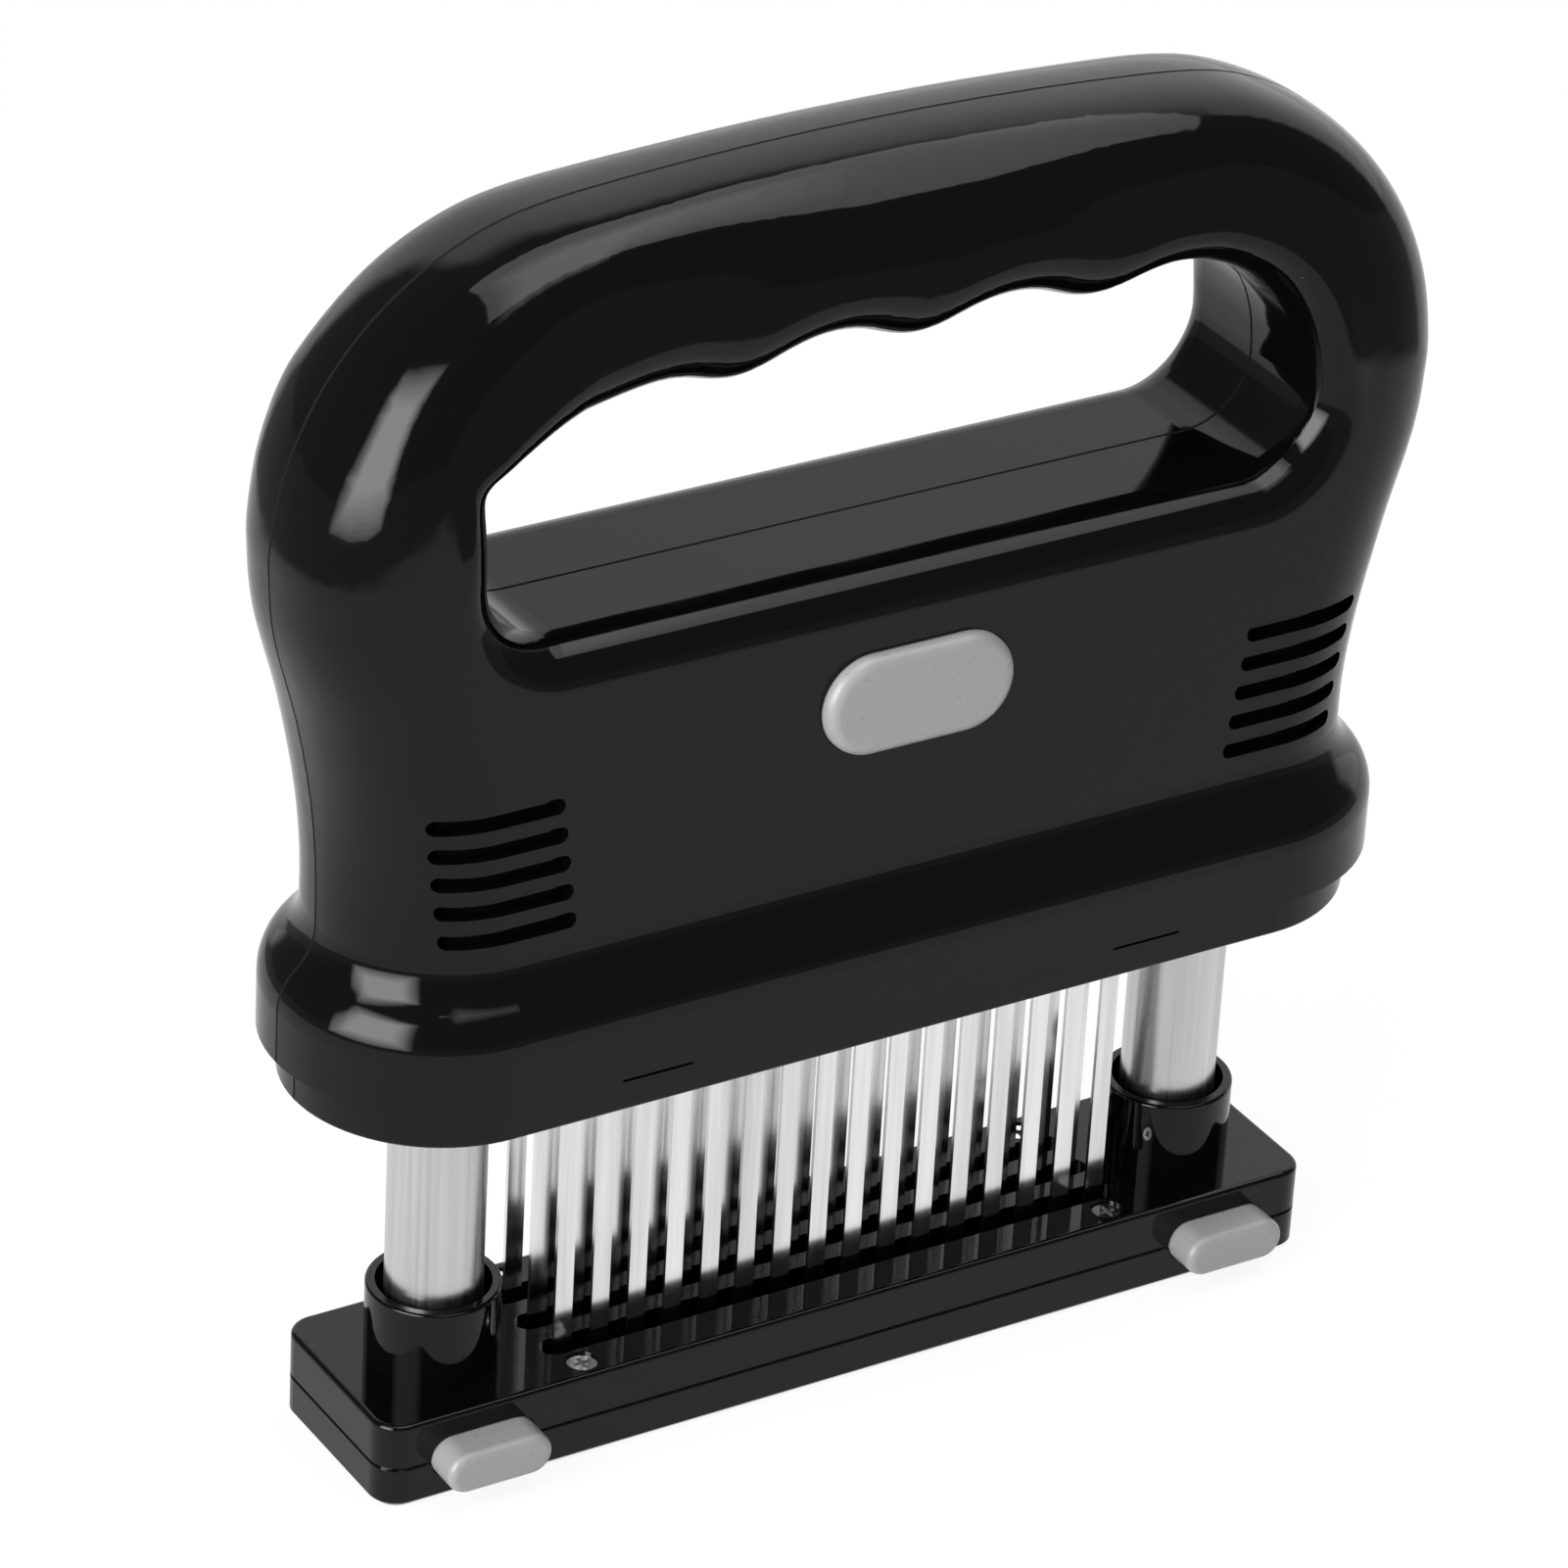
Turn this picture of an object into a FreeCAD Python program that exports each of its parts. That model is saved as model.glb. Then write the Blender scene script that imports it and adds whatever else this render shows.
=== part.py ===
import FreeCAD, Part
import math
import os

os.makedirs("parts", exist_ok=True)
Vector = FreeCAD.Vector

# Blade meat tenderizer, millimetres.  X runs along the handle, Y from front (minus)
# to back, Z up.  The origin is the middle of the face the guard base stands on.

# ---- blades -----------------------------------------------------------------
blade_pitch = 4.5
blades_per_row = 16
row_spacing = 5.44
row_names = (("front", -1), ("middle", 0), ("rear", 1))
blade_width = 2.1
blade_thickness = 0.5
blade_tip = 4.5
blade_edge_height = 2.4
blade_head_width = 3.4
blade_head_height = 3.0

blade_span = blade_pitch * (blades_per_row - 1)
slot_end_margin = 2.5
slot_half_length = blade_span / 2 + slot_end_margin
slot_half_width = 1.55
head_slot_end_margin = 2.25
head_slot_half_length = blade_span / 2 + head_slot_end_margin
head_slot_half_width = 0.9

# ---- blade carrier ----------------------------------------------------------
carrier_end_margin = 4.85
carrier_side_margin = 3.96
carrier_half_length = blade_span / 2 + carrier_end_margin
carrier_half_width = row_spacing + carrier_side_margin
carrier_clearance = 0.4
carrier_block_height = 8.6
carrier_rim_wall = 2.7
carrier_slot_width = 0.56
clamp_plate_thickness = 2.0
clamp_screw_x = carrier_half_length - carrier_rim_wall / 2
clamp_screw_y = carrier_half_width - carrier_rim_wall / 2
clamp_screw_radius = 0.75
clamp_screw_head_radius = 1.3
clamp_screw_head_height = 1.1
clamp_screw_length = 7.0
chamber_headroom = 0.9


# ---- guide posts ------------------------------------------------------------
post_to_carrier = 7.9
post_offset = carrier_half_length + post_to_carrier
post_radius = 5.3
post_bore_radius = 4.5
post_bottom = 6.9
post_top = 69.0
post_sides = (("left", -1), ("right", 1))

foot_seat_height = 2.2
foot_disc_top = 3.9
foot_shoulder_bottom = 6.1
foot_neck_radius = 3.2
foot_spigot_radius = 4.46
foot_spigot_top = 12.0

collar_radius = 7.3
collar_bore_radius = 6.25
collar_top = 19.2
collar_floor = 11.5
collar_edge_round = 0.35
post_socket_clearance = 0.08

# ---- guard base -------------------------------------------------------------
base_end_margin = 11.9
base_length = 2 * (post_offset + base_end_margin)
base_width = 23.6
base_corner_radius = 3.2
base_top_height = 10.2
base_seam_height = 4.8
base_edge_round = 0.6
seam_groove = 0.22
base_wall = 1.8
latch_pocket_floor = 1.5
latch_pocket_roof = 8.4
latch_pocket_half_length = 8.6

# ---- screws -----------------------------------------------------------------
base_screw_x = 33.3
base_screw_y = 9.15
base_screw_head_radius = 1.65
base_screw_shank_radius = 0.9
base_screw_head_height = 1.3
base_screw_recess = 0.25
base_screw_tip = 1.6
screw_hole_clearance = 0.1
cross_slot_length = 2.0
cross_slot_width = 0.5
cross_slot_depth = 0.7

# ---- push buttons of the base -----------------------------------------------
base_button_half_length = 6.2
base_button_half_height = 2.4
base_button_height = 5.0
base_button_reach = 4.2
base_button_edge_round = 0.9
base_button_gap = 0.15
base_button_flange_half_length = 7.4
base_button_flange_half_height = 3.1
base_button_flange_depth = 1.3
base_button_travel = 2.5
latch_plate_half_width = 6.9
latch_plate_thickness = 1.6
latch_plate_web = 2.1
latch_release_radius = 5.6
latch_hold_radius = 3.4
base_button_spring_length = 2.0
small_spring_radius = 1.35
small_spring_wire = 0.4
small_spring_turns = 3

# ---- blade head cassette ----------------------------------------------------
cassette_end_margin = 17.2
cassette_half_length = post_offset + cassette_end_margin
cassette_half_width = 16.65
cassette_bottom = 45.9
cassette_rim_height = 5.3
cassette_lap = 5.6
cassette_shoulder = cassette_bottom + cassette_rim_height + cassette_lap
cassette_wall = 1.8
cassette_floor_thickness = 2.5
cassette_edge_round = 0.4
carrier_pocket_floor = cassette_bottom + cassette_floor_thickness + carrier_block_height
carrier_rim_top = carrier_pocket_floor + blade_head_height
chamber_half_length = carrier_half_length + carrier_clearance
chamber_half_width = carrier_half_width + carrier_clearance
chamber_top = carrier_rim_top + clamp_plate_thickness + clamp_screw_head_height + chamber_headroom
tower_radius = 7.4
tower_bore_radius = 5.5
tower_roof_underside = 95.2
tower_roof_thickness = 2.0
window_inner_x = 26.0
window_outer_x = 34.3
window_rise = 3.45
window_height = 3.2
window_bottom = cassette_bottom + window_rise
window_top = window_bottom + window_height
tongue_half_width = 8.0
tongue_front = 9.6
tongue_thickness = 1.6
catch_half_width = 5.0
catch_clearance = 0.5

bush_radius = 6.6
bush_length = 7.0
bush_top = cassette_bottom + bush_length
bush_clearance = 0.06


# ---- handle shells ----------------------------------------------------------
shell_wall = 2.2
shell_to_cassette_gap = 0.15
housing_clearance = 0.8
housing_half_depth = chamber_half_width + cassette_wall + housing_clearance + shell_wall
housing_end_inset = 2.05
housing_end_half_length = cassette_half_length - housing_end_inset
flange_wall = 2.0
flange_half_width = cassette_half_width + shell_to_cassette_gap + flange_wall
flange_band_height = 6.0
flange_flare_height = 9.2
flange_bottom = cassette_bottom + cassette_rim_height
flange_band_top = flange_bottom + flange_band_height
flange_waist = flange_band_top + flange_flare_height

waist_band = 2.6
waist_to_bend = 27.5
waist_height = flange_waist + waist_band
bend_height = waist_height + waist_to_bend
shoulder_height = 108.5
shoulder_half_length = 67.72
arm_end_round = 13.1

shoulder_to_opening = 8.05
opening_floor = shoulder_height - shoulder_to_opening
opening_half_length = 49.2
opening_floor_corner = 8.0
opening_edge_round = 4.95
opening_floor_wall = 2.25
cavity_top = opening_floor - opening_floor_wall

bow_centre_x = 36.3
bow_centre_rise = 3.1
bow_centre_z = shoulder_height + bow_centre_rise
bow_radius = 22.0
outer_corner_radius = 34.5
outer_corner_x = shoulder_half_length - outer_corner_radius
outer_corner_z = shoulder_height
grip_crown_reach = 10.95
grip_crown_radius = 400.0
grip_half_depth = 10.25
grip_underside_rise = 15.5
grip_underside = shoulder_height + grip_underside_rise
left_corner_start = 2.1
left_corner_rise = 8.9
left_corner_height = shoulder_height + left_corner_rise
left_corner_power = 1.77
right_corner_start = 29.6
right_corner_drop = 2.3
right_corner_height = shoulder_height - right_corner_drop
right_corner_power = 2.7
blend_length = 55.0
least_straight = 0.4

# how full a rounded quarter is: the middle weight of its conic, 0.707 being an ellipse
round_fullness = math.sqrt(0.5)
arm_fullness = 0.9
grip_fullness = 1.57
underside_fullness = 0.98
fullness_rise = 22.0

finger_pitch = 21.3
finger_offset = 3.2
finger_ridge_height = 2.7
finger_ridge_width = 6.0
finger_ridges = (-1, 0, 1)

vent_count = 5
vent_pitch = 3.42
vent_bottom = 69.2
vent_inner_x = 39.5
vent_length = 15.0
vent_lean = 0.45
vent_height = 1.9
vent_depth = 1.3

handle_screw_low_x = 58.2
handle_screw_low_drop = 5.5
handle_screw_low_z = shoulder_height - handle_screw_low_drop
handle_screw_high_x = 36.3
handle_screw_high_rise = 22.2
handle_screw_high_z = bow_centre_z + handle_screw_high_rise
handle_screw_shank_radius = 1.25
handle_screw_head_radius = 2.3
handle_screw_head_seat = 4.0
handle_screw_head_height = 1.8
handle_screw_tip = -7.0
handle_boss_radius = 3.4
handle_counterbore_radius = 2.6

# ---- release button ---------------------------------------------------------
release_half_length = 11.35
release_half_height = 5.68
release_height = 86.1
release_proud = 1.6
release_face = housing_half_depth + release_proud
release_edge_round = 1.3
release_gap = 0.15
release_flange_margin = 1.2
release_flange_depth = 1.2
release_travel = 2.5
release_block_half_width = 4.4
release_block_back = 5.5
release_block_rise = 4.3
release_block_drop = 5.1
release_block_top = release_height + release_block_rise
release_block_bottom = release_height - release_block_drop
release_leg_thickness = 1.9
release_leg_drop = 14.3
release_leg_bottom = release_height - release_leg_drop
release_tooth_lift = 0.6
release_tooth_height = 3.2
release_tooth_bottom = release_leg_bottom + release_tooth_lift
release_tooth_top = release_tooth_bottom + release_tooth_height
release_tooth_reach = 9.2
catch_bottom = release_tooth_bottom - catch_clearance
catch_top = release_tooth_top + catch_clearance
tongue_clearance = 0.42
tongue_top = release_height - release_half_height - release_flange_margin - tongue_clearance
release_spring_length = 4.5
release_spring_radius = 2.2
release_spring_wire = 0.5
release_spring_turns = 5
release_peg_radius = 2.8

# ---- return springs ---------------------------------------------------------
return_spring_radius = 3.6
return_spring_wire = 0.9
return_spring_turns = 13

very_far = 200.0


# ---- plain shapes -----------------------------------------------------------
def block(x_min, x_max, y_min, y_max, z_min, z_max):
    return Part.makeBox(x_max - x_min, y_max - y_min, z_max - z_min, Vector(x_min, y_min, z_min))


def rod(x, y, z_min, z_max, radius):
    return Part.makeCylinder(radius, z_max - z_min, Vector(x, y, z_min))


def rod_along_y(x, z, y_min, y_max, radius):
    return Part.makeCylinder(radius, y_max - y_min, Vector(x, y_min, z), Vector(0, 1, 0))


def stadium_face(half_length, half_width, height):
    straight = half_length - half_width
    front_left = Vector(-straight, -half_width, height)
    front_right = Vector(straight, -half_width, height)
    back_right = Vector(straight, half_width, height)
    back_left = Vector(-straight, half_width, height)
    edges = [
        Part.makeLine(front_left, front_right),
        Part.Arc(front_right, Vector(half_length, 0, height), back_right).toShape(),
        Part.makeLine(back_right, back_left),
        Part.Arc(back_left, Vector(-half_length, 0, height), front_left).toShape(),
    ]
    return Part.Face(Part.Wire(edges))


def stadium(half_length, half_width, z_min, z_max):
    return stadium_face(half_length, half_width, z_min).extrude(Vector(0, 0, z_max - z_min))


def stadium_plug(half_length, half_height, x, z, y_min, y_max):
    plug = stadium_face(half_length, half_height, 0).extrude(Vector(0, 0, y_max - y_min))
    plug.rotate(Vector(0, 0, 0), Vector(1, 0, 0), -90)
    plug.translate(Vector(x, y_min, z))
    return plug


def rounded_plate(length, width, radius, z_min, z_max):
    plate = block(-length / 2, length / 2, -width / 2, width / 2, z_min, z_max)
    uprights = [edge for edge in plate.Edges if abs(edge.tangentAt(edge.FirstParameter).z) > 0.9]
    return plate.makeFillet(radius, uprights)


def edges_in_plane(shape, axis, value):
    found = []
    for edge in shape.Edges:
        low = getattr(edge.BoundBox, axis + "Min")
        high = getattr(edge.BoundBox, axis + "Max")
        if abs(low - value) < 0.01 and abs(high - value) < 0.01:
            found.append(edge)
    return found


def joined(shapes):
    whole = shapes[0]
    for shape in shapes[1:]:
        whole = whole.fuse(shape)
    return whole.removeSplitter()


def save(shape, name):
    shape.exportStep("parts/" + name + ".step")
    print(name, len(shape.Solids), "solid(s)", round(shape.Volume, 1), "mm3", shape.isValid())


def front_half(shape):
    return shape.common(block(-very_far, very_far, -very_far, 0, -very_far, very_far))


def rear_half(shape):
    return shape.common(block(-very_far, very_far, 0, very_far, -very_far, very_far))


# ---- coil springs -----------------------------------------------------------
def coil(radius, wire, turns, length):
    steps_per_turn = 8
    steps = turns * steps_per_turn
    half_wire = wire / 2
    rings = []
    for step in range(steps + 1):
        angle = 2 * math.pi * step / steps_per_turn
        height = half_wire + (length - wire) * step / steps
        ring = []
        for out, up in ((-1, -1), (1, -1), (1, 1), (-1, 1)):
            reach = radius + out * half_wire
            ring.append(Vector(reach * math.cos(angle), reach * math.sin(angle), height + up * half_wire))
        rings.append(ring)
    faces = [flat(rings[0]), flat(rings[-1])]
    for low, high in zip(rings, rings[1:]):
        for corner in range(4):
            after = (corner + 1) % 4
            faces.append(flat([low[corner], low[after], high[after]]))
            faces.append(flat([low[corner], high[after], high[corner]]))
    return Part.makeSolid(Part.makeShell(faces))


def flat(corners):
    return Part.Face(Part.makePolygon(corners + [corners[0]]))


def coil_along_y(radius, wire, turns, x, z, y_start, y_end):
    spring = coil(radius, wire, turns, y_end - y_start)
    spring.rotate(Vector(0, 0, 0), Vector(1, 0, 0), -90)
    spring.translate(Vector(x, y_start, z))
    return spring


# ---- guard base -------------------------------------------------------------
def blade_slots(half_length, half_width, z_min, z_max):
    slots = []
    for name, side in row_names:
        slot = stadium(half_length, half_width, z_min, z_max)
        slot.translate(Vector(0, side * row_spacing, 0))
        slots.append(slot)
    return slots


def base_screw_places():
    return [(sx * base_screw_x, sy * base_screw_y) for sx in (-1, 1) for sy in (-1, 1)]


def latch_pocket(side):
    x = side * post_offset
    reach = base_width / 2 - base_wall
    return block(x - latch_pocket_half_length, x + latch_pocket_half_length, -reach, reach,
                 latch_pocket_floor, latch_pocket_roof)


def base_button_hole(side):
    return stadium_plug(base_button_half_length + base_button_gap, base_button_half_height + base_button_gap,
                        side * post_offset, base_button_height, -base_width, 0)


def base_top_plate():
    plate = rounded_plate(base_length, base_width, base_corner_radius, base_seam_height, base_top_height)
    plate = plate.makeFillet(base_edge_round, edges_in_plane(plate, "Z", base_top_height))
    plate = plate.makeChamfer(seam_groove, edges_in_plane(plate, "Z", base_seam_height))
    collars = []
    for side in (-1, 1):
        collar = rod(side * post_offset, 0, base_top_height, collar_top, collar_radius)
        collars.append(collar.makeFillet(collar_edge_round, edges_in_plane(collar, "Z", collar_top)))
    plate = joined([plate] + collars)
    cuts = blade_slots(slot_half_length, slot_half_width, 0, very_far)
    for side in (-1, 1):
        x = side * post_offset
        cuts.append(rod(x, 0, collar_floor, very_far, collar_bore_radius))
        cuts.append(rod(x, 0, 0, very_far, post_radius + post_socket_clearance))
        cuts.append(latch_pocket(side))
        cuts.append(base_button_hole(side))
    head_floor = base_top_height - base_screw_recess - base_screw_head_height
    for x, y in base_screw_places():
        cuts.append(rod(x, y, head_floor, very_far, base_screw_head_radius + screw_hole_clearance))
        cuts.append(rod(x, y, 0, very_far, base_screw_shank_radius + screw_hole_clearance))
    return plate.cut(cuts)


def base_bottom_plate():
    plate = rounded_plate(base_length, base_width, base_corner_radius, 0, base_seam_height)
    plate = plate.makeChamfer(base_edge_round, edges_in_plane(plate, "Z", 0))
    plate = plate.makeChamfer(seam_groove, edges_in_plane(plate, "Z", base_seam_height))
    cuts = blade_slots(slot_half_length, slot_half_width, -1, very_far)
    for side in (-1, 1):
        x = side * post_offset
        pocket = latch_pocket(side)
        seat = rod(x, 0, latch_pocket_floor, foot_seat_height, post_radius)
        cuts.append(pocket.cut(seat))
        cuts.append(base_button_hole(side))
    for x, y in base_screw_places():
        cuts.append(rod(x, y, base_screw_tip, very_far, base_screw_shank_radius))
    return plate.cut(cuts)


def cross_slot(x, y, z_top):
    half_length = cross_slot_length / 2
    half_width = cross_slot_width / 2
    z_min = z_top - cross_slot_depth
    along = block(x - half_length, x + half_length, y - half_width, y + half_width, z_min, z_top)
    across = block(x - half_width, x + half_width, y - half_length, y + half_length, z_min, z_top)
    return [along, across]


def base_screws():
    screws = []
    head_top = base_top_height - base_screw_recess
    for x, y in base_screw_places():
        head = rod(x, y, head_top - base_screw_head_height, head_top, base_screw_head_radius)
        shank = rod(x, y, base_screw_tip, head_top - base_screw_head_height, base_screw_shank_radius)
        screws.append(joined([head, shank]).cut(cross_slot(x, y, head_top)))
    return Part.makeCompound(screws)


# ---- guide posts ------------------------------------------------------------
def guide_post(side):
    x = side * post_offset
    tube = rod(x, 0, post_bottom, post_top, post_radius)
    return tube.cut(rod(x, 0, post_bottom, post_top, post_bore_radius))


def post_foot(side):
    x = side * post_offset
    return joined([
        rod(x, 0, foot_seat_height, foot_disc_top, post_radius),
        rod(x, 0, foot_disc_top, foot_shoulder_bottom, foot_neck_radius),
        rod(x, 0, foot_shoulder_bottom, post_bottom, post_radius),
        rod(x, 0, post_bottom, foot_spigot_top, foot_spigot_radius),
    ])


def return_spring(side):
    length = tower_roof_underside - foot_spigot_top
    spring = coil(return_spring_radius, return_spring_wire, return_spring_turns, length)
    spring.translate(Vector(side * post_offset, 0, foot_spigot_top))
    return spring


# ---- push buttons of the base -----------------------------------------------
def keyhole(x, z_min, z_max):
    release = rod(x, -base_button_travel, z_min, z_max, latch_release_radius)
    hold = rod(x, 0, z_min, z_max, latch_hold_radius)
    neck = block(x - latch_hold_radius, x + latch_hold_radius, -base_button_travel, 0, z_min, z_max)
    return [release, hold, neck]


def base_button(side):
    x = side * post_offset
    z = base_button_height
    face = -base_width / 2 - base_button_reach
    flange_front = -base_width / 2 + base_wall
    flange_back = flange_front + base_button_flange_depth
    knob = stadium_plug(base_button_half_length, base_button_half_height, x, z, face, flange_front)
    knob = knob.makeFillet(base_button_edge_round, edges_in_plane(knob, "Y", face))
    flange_x = base_button_flange_half_length
    flange_z = base_button_flange_half_height
    flange = block(x - flange_x, x + flange_x, flange_front, flange_back, z - flange_z, z + flange_z)
    z_min = z - latch_plate_thickness / 2
    z_max = z + latch_plate_thickness / 2
    plate = block(x - latch_plate_half_width, x + latch_plate_half_width, flange_back,
                  latch_hold_radius + latch_plate_web, z_min, z_max)
    return joined([knob, flange, plate.cut(keyhole(x, z_min, z_max))])


def base_button_spring(side):
    start = latch_hold_radius + latch_plate_web
    return coil_along_y(small_spring_radius, small_spring_wire, small_spring_turns, side * post_offset,
                        base_button_height, start, start + base_button_spring_length)


# ---- blade head cassette ----------------------------------------------------
def cassette():
    body = stadium(cassette_half_length, cassette_half_width, cassette_bottom, cassette_shoulder)
    body = body.makeFillet(cassette_edge_round, edges_in_plane(body, "Z", cassette_bottom))
    floor_top = cassette_bottom + cassette_floor_thickness
    body = body.cut(stadium(cassette_half_length - cassette_wall, cassette_half_width - cassette_wall,
                            floor_top, cassette_shoulder - cassette_wall))
    chamber = block(-chamber_half_length - cassette_wall, chamber_half_length + cassette_wall,
                    -chamber_half_width - cassette_wall, chamber_half_width + cassette_wall,
                    cassette_bottom, chamber_top + cassette_wall)
    parts = [body, chamber]
    for side in (-1, 1):
        parts.append(rod(side * post_offset, 0, cassette_bottom, tower_roof_underside + tower_roof_thickness,
                         tower_radius))
    parts.append(block(-tongue_half_width, tongue_half_width, -tongue_front, -tongue_front + tongue_thickness,
                       chamber_top, tongue_top))
    body = joined(parts)
    cuts = [block(-chamber_half_length, chamber_half_length, -chamber_half_width, chamber_half_width,
                  floor_top, chamber_top)]
    cuts += blade_slots(head_slot_half_length, head_slot_half_width, 0, floor_top + 1)
    tongue_back = -tongue_front + tongue_thickness
    cuts.append(block(-catch_half_width, catch_half_width, -tongue_front - 1, tongue_back + 1,
                      catch_bottom, catch_top))
    for side in (-1, 1):
        x = side * post_offset
        cuts.append(rod(x, 0, 0, tower_roof_underside, tower_bore_radius))
        cuts.append(rod(x, 0, 0, bush_top, bush_radius))
        window_start = min(side * window_inner_x, side * window_outer_x)
        for face in (-cassette_half_width - 1, cassette_half_width - cassette_wall):
            cuts.append(block(window_start, window_start + window_outer_x - window_inner_x,
                              face, face + cassette_wall + 1, window_bottom, window_top))
    return body.cut(cuts)


def post_bush(side):
    x = side * post_offset
    bush = rod(x, 0, cassette_bottom, bush_top, bush_radius)
    return bush.cut(rod(x, 0, cassette_bottom, bush_top, post_radius + bush_clearance))


def clamp_screw_places():
    return [(sx * clamp_screw_x, sy * clamp_screw_y) for sx in (-1, 1) for sy in (-1, 1)]


def blade_carrier():
    floor_top = cassette_bottom + cassette_floor_thickness
    carrier = block(-carrier_half_length, carrier_half_length, -carrier_half_width, carrier_half_width,
                    floor_top, carrier_rim_top)
    inner_x = carrier_half_length - carrier_rim_wall
    inner_y = carrier_half_width - carrier_rim_wall
    cuts = [block(-inner_x, inner_x, -inner_y, inner_y, carrier_pocket_floor, carrier_rim_top)]
    for name, side in row_names:
        y = side * row_spacing
        cuts.append(block(-inner_x, inner_x, y - carrier_slot_width / 2, y + carrier_slot_width / 2,
                          floor_top, carrier_rim_top))
    shank_tip = carrier_rim_top + clamp_plate_thickness - clamp_screw_length
    for x, y in clamp_screw_places():
        cuts.append(rod(x, y, shank_tip, carrier_rim_top, clamp_screw_radius))
    return carrier.cut(cuts)


def blade_clamp_plate():
    plate = block(-carrier_half_length, carrier_half_length, -carrier_half_width, carrier_half_width,
                  carrier_rim_top, carrier_rim_top + clamp_plate_thickness)
    return plate.cut([rod(x, y, 0, very_far, clamp_screw_radius + screw_hole_clearance)
                      for x, y in clamp_screw_places()])


def clamp_screws():
    screws = []
    head_bottom = carrier_rim_top + clamp_plate_thickness
    head_top = head_bottom + clamp_screw_head_height
    for x, y in clamp_screw_places():
        head = rod(x, y, head_bottom, head_top, clamp_screw_head_radius)
        shank = rod(x, y, head_bottom - clamp_screw_length, head_bottom, clamp_screw_radius)
        screws.append(joined([head, shank]))
    return Part.makeCompound(screws)


def blade(x, y):
    half_width = blade_width / 2
    half_head = blade_head_width / 2
    shoulder = carrier_pocket_floor
    top = shoulder + blade_head_height
    outline = [(-half_width, shoulder), (-half_width, blade_tip + blade_edge_height), (half_width, blade_tip),
               (half_width, shoulder), (half_head, shoulder), (half_head, top), (-half_head, top),
               (-half_head, shoulder), (-half_width, shoulder)]
    corners = [Vector(x + across, y - blade_thickness / 2, height) for across, height in outline]
    return Part.Face(Part.makePolygon(corners)).extrude(Vector(0, blade_thickness, 0))


def blade_row(side):
    first = -(blades_per_row - 1) / 2
    return Part.makeCompound([blade((first + number) * blade_pitch, side * row_spacing)
                              for number in range(blades_per_row)])


# ---- handle: lower housing --------------------------------------------------
def housing_reach(height):
    slope = 2 * (shoulder_half_length - housing_end_half_length) / (shoulder_height - waist_height)
    if height <= waist_height:
        return housing_end_half_length
    if height <= bend_height:
        risen = height - waist_height
        return housing_end_half_length + slope * risen ** 2 / (2 * (bend_height - waist_height))
    left = shoulder_height - height
    return shoulder_half_length - slope * left ** 2 / (2 * (shoulder_height - bend_height))


def smooth_step(share):
    share = min(1, max(0, share))
    return share * share * (3 - 2 * share)


def between(first, second, share):
    return first + (second - first) * share


def rounded_quarter(centre, along, across, fullness):
    curve = Part.BezierCurve()
    curve.setPoles([centre + along, centre + along + across, centre + across])
    curve.setWeight(2, fullness)
    return curve.toShape()


def housing_section(height, inset):
    reach = housing_reach(height) - inset
    depth = housing_half_depth - inset
    share = min(1, max(0, (height - waist_height) / (shoulder_height - waist_height)))
    end_round = housing_half_depth + (arm_end_round - housing_half_depth) * share - inset
    centre = reach - end_round
    fullness = between(round_fullness, arm_fullness, smooth_step((height - waist_height) / fullness_rise))
    across = Vector(0, -depth, 0)
    left = rounded_quarter(Vector(-centre, 0, height), Vector(-end_round, 0, 0), across, fullness)
    front = Part.makeLine(Vector(-centre, -depth, height), Vector(centre, -depth, height))
    right = rounded_quarter(Vector(centre, 0, height), Vector(end_round, 0, 0), across, fullness)
    back = Part.makeLine(Vector(reach, 0, height), Vector(-reach, 0, height))
    return Part.Wire([left, front, right, back])


def housing_loft(z_min, z_max, inset):
    count = 9
    sections = [housing_section(z_min + (z_max - z_min) * step / (count - 1), inset) for step in range(count)]
    return Part.makeLoft(sections, True, False)


def flange_profile(centre_x):
    # half of the flared foot of the handle, drawn from the end axis outwards
    rise = (flange_half_width - housing_half_depth) / 2
    middle_z = (flange_band_top + flange_waist) / 2
    middle_y = housing_half_depth + rise
    run = (flange_waist - flange_band_top) / 2
    corner_radius = (run ** 2 + rise ** 2) / (2 * rise)
    half_angle = math.asin(run / corner_radius) / 2
    sag_y = corner_radius * (1 - math.cos(half_angle))
    sag_z = corner_radius * math.sin(half_angle)
    outer = Vector(centre_x, -flange_half_width, flange_band_top)
    outer_mid = Vector(centre_x, -flange_half_width + sag_y, flange_band_top + sag_z)
    middle = Vector(centre_x, -middle_y, middle_z)
    inner_mid = Vector(centre_x, -housing_half_depth - sag_y, flange_waist - sag_z)
    inner = Vector(centre_x, -housing_half_depth, flange_waist)
    axis_low = Vector(centre_x, 0, flange_bottom)
    low = Vector(centre_x, -flange_half_width, flange_bottom)
    side = Vector(centre_x, -housing_half_depth, waist_height)
    axis_high = Vector(centre_x, 0, waist_height)
    return Part.Face(Part.Wire([
        Part.makeLine(axis_low, low),
        Part.makeLine(low, outer),
        Part.Arc(outer, outer_mid, middle).toShape(),
        Part.Arc(middle, inner_mid, inner).toShape(),
        Part.makeLine(inner, side),
        Part.makeLine(side, axis_high),
        Part.makeLine(axis_high, axis_low),
    ]))


def flange():
    centre = housing_end_half_length - housing_half_depth
    middle = flange_profile(-centre).extrude(Vector(2 * centre, 0, 0))
    left = flange_profile(-centre).revolve(Vector(-centre, 0, 0), Vector(0, 0, 1), -90)
    right = flange_profile(centre).revolve(Vector(centre, 0, 0), Vector(0, 0, 1), 90)
    return joined([middle, left, right])


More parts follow.
